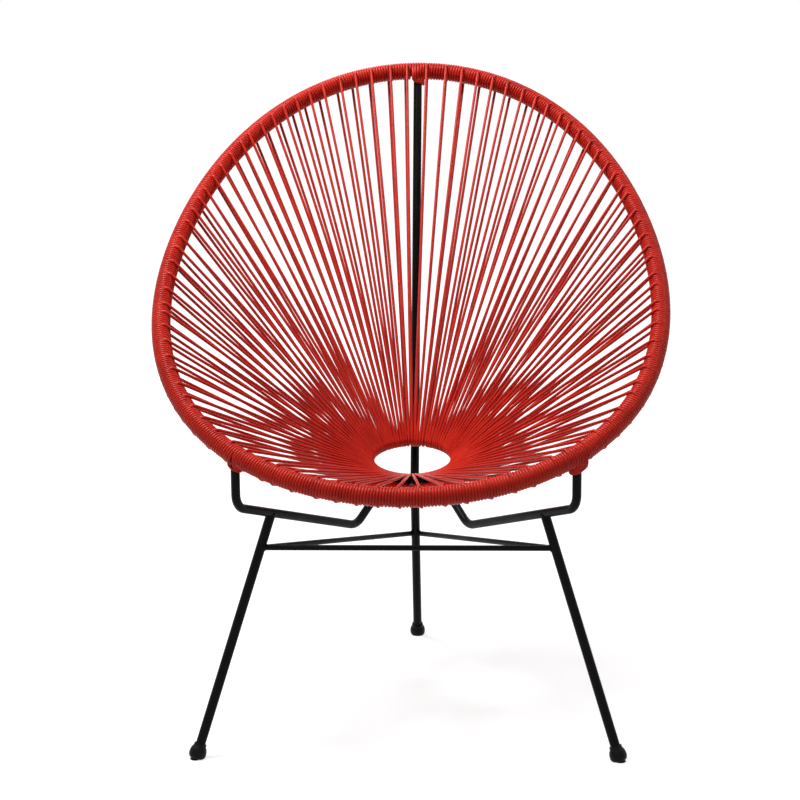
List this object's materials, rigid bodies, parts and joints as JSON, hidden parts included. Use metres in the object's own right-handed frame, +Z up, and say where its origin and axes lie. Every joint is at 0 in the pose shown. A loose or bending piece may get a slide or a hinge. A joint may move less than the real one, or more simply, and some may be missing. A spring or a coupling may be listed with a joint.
{
  "type": "acapulco chair",
  "caption": "Round lounge chair: a tilted egg-shaped hoop wound with red cord, a deep seat of stretched cord gathered on a small ring, bent carrying rods and thin splayed legs with ball feet.",
  "frame": {"origin": "on the floor, under the middle of the object's bounding box, which is the middle of the hoop", "axes": "+Z up, -Y the way the sitter faces, +X to the right in a view from the front"},
  "size_m": [0.72, 0.7852, 0.876],
  "materials": {
    "steel": "satin black powder coat",
    "cord": "glossy red PVC cord",
    "cap": "moulded black plastic, slightly shiny"
  },
  "bodies": {
    "root": {"rim_hoop": "steel", "hub_ring": "steel", "back_rod": "steel", "right_arm": "steel", "right_front_leg": "steel", "right_stretcher": "steel", "left_arm": "steel", "left_front_leg": "steel", "left_stretcher": "steel", "front_stretcher": "steel", "right_foot_cap": "cap", "left_foot_cap": "cap", "rear_foot_cap": "cap", "rim_winding": "cord", "seat_cord_front": "cord", "seat_cord_right_1": "cord", "seat_cord_left_1": "cord", "seat_cord_right_2": "cord", "seat_cord_left_2": "cord", "seat_cord_right_3": "cord", "seat_cord_left_3": "cord", "seat_cord_right_4": "cord", "seat_cord_left_4": "cord", "seat_cord_right_5": "cord", "seat_cord_left_5": "cord", "seat_cord_right_6": "cord", "seat_cord_left_6": "cord"}
  },
  "joints": []
}
